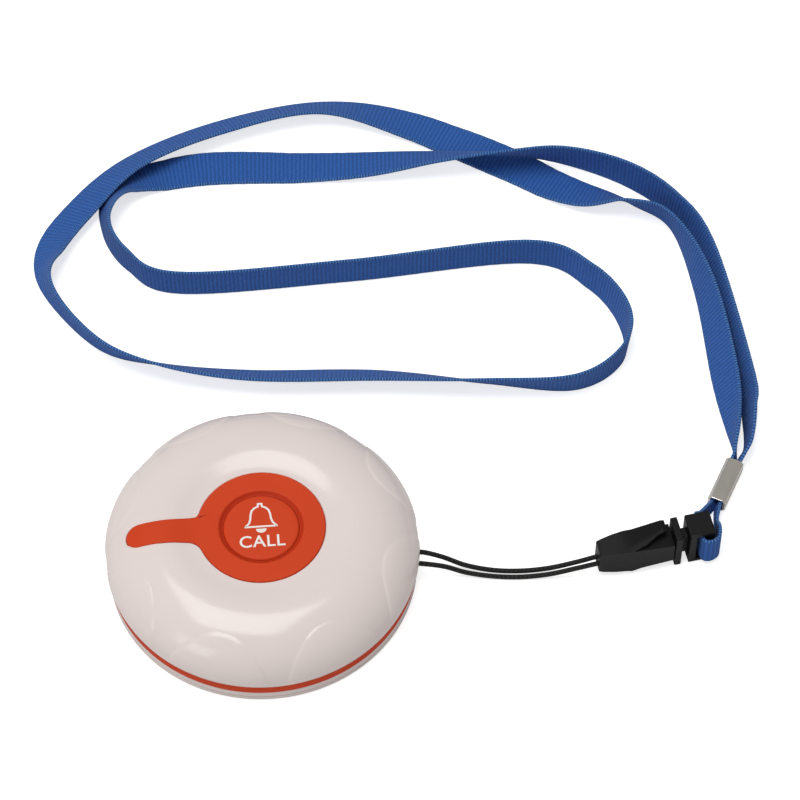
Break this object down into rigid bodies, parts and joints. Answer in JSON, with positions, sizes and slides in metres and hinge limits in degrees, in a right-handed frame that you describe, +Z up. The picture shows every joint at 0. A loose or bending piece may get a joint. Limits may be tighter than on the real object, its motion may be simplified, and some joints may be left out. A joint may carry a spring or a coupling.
{
  "type": "wireless call button with lanyard",
  "caption": "Round white call button with an orange press key and pad, hung by a short cord, a breakaway buckle and a crimp on a flat blue woven neck ribbon.",
  "frame": {"origin": "middle of the housing's flat underside", "axes": "+Z up out of the key, -X along the pad's tongue, +X towards the cord and ribbon"},
  "size_m": [0.1836, 0.188, 0.0203],
  "materials": {
    "white_plastic": "glossy warm white moulding",
    "orange_rubber": "matte orange soft moulding",
    "orange_plastic": "matte orange moulding",
    "black_plastic": "satin black moulding",
    "cord_black": "fine braided cord",
    "ribbon_blue": "flat woven ribbon with cross ribs and stitched edges",
    "crimp_steel": "bright plated sheet",
    "steel": "plain bright steel",
    "contact_brass": "plated contact",
    "board_green": "green board with tracks",
    "chip_black": "moulded package",
    "clear_plastic": "clear moulding",
    "coil_copper": "bare copper wire"
  },
  "bodies": {
    "housing": {"upper_shell": "white_plastic", "lower_shell": "white_plastic", "cord_lug": "white_plastic", "seal_ring": "orange_rubber", "pad": "orange_rubber", "cord_pin": "steel", "circuit_board": "board_green", "board_screw_1": "steel", "board_screw_2": "steel", "board_screw_3": "steel", "housing_screw_1": "steel", "housing_screw_2": "steel", "housing_screw_3": "steel", "housing_screw_4": "steel", "coin_cell": "steel", "cell_holder": "black_plastic", "cell_clip": "steel", "cell_contact": "contact_brass", "switch_body": "black_plastic", "status_led": "clear_plastic", "light_pipe": "clear_plastic", "radio_chip": "chip_black", "crystal": "steel", "capacitor": "black_plastic", "antenna_coil": "coil_copper", "cord": "cord_black", "buckle_cord_half": "black_plastic"},
    "key": {"call_key": "orange_plastic", "switch_plunger": "white_plastic"},
    "lanyard": {"buckle_ribbon_half": "black_plastic", "crimp": "crimp_steel", "ribbon": "ribbon_blue", "ribbon_loop": "ribbon_blue"}
  },
  "joints": [
    {"name": "key_press", "type": "slide", "parent": "housing", "child": "key", "axis": [0, 0, -1], "range_m": [0, 0.0005], "stiffness_N_per_m": 2500},
    {"name": "buckle_release", "type": "slide", "parent": "housing", "child": "lanyard", "axis": [0.9945, 0.1045, 0], "range_m": [0, 0.012]}
  ]
}
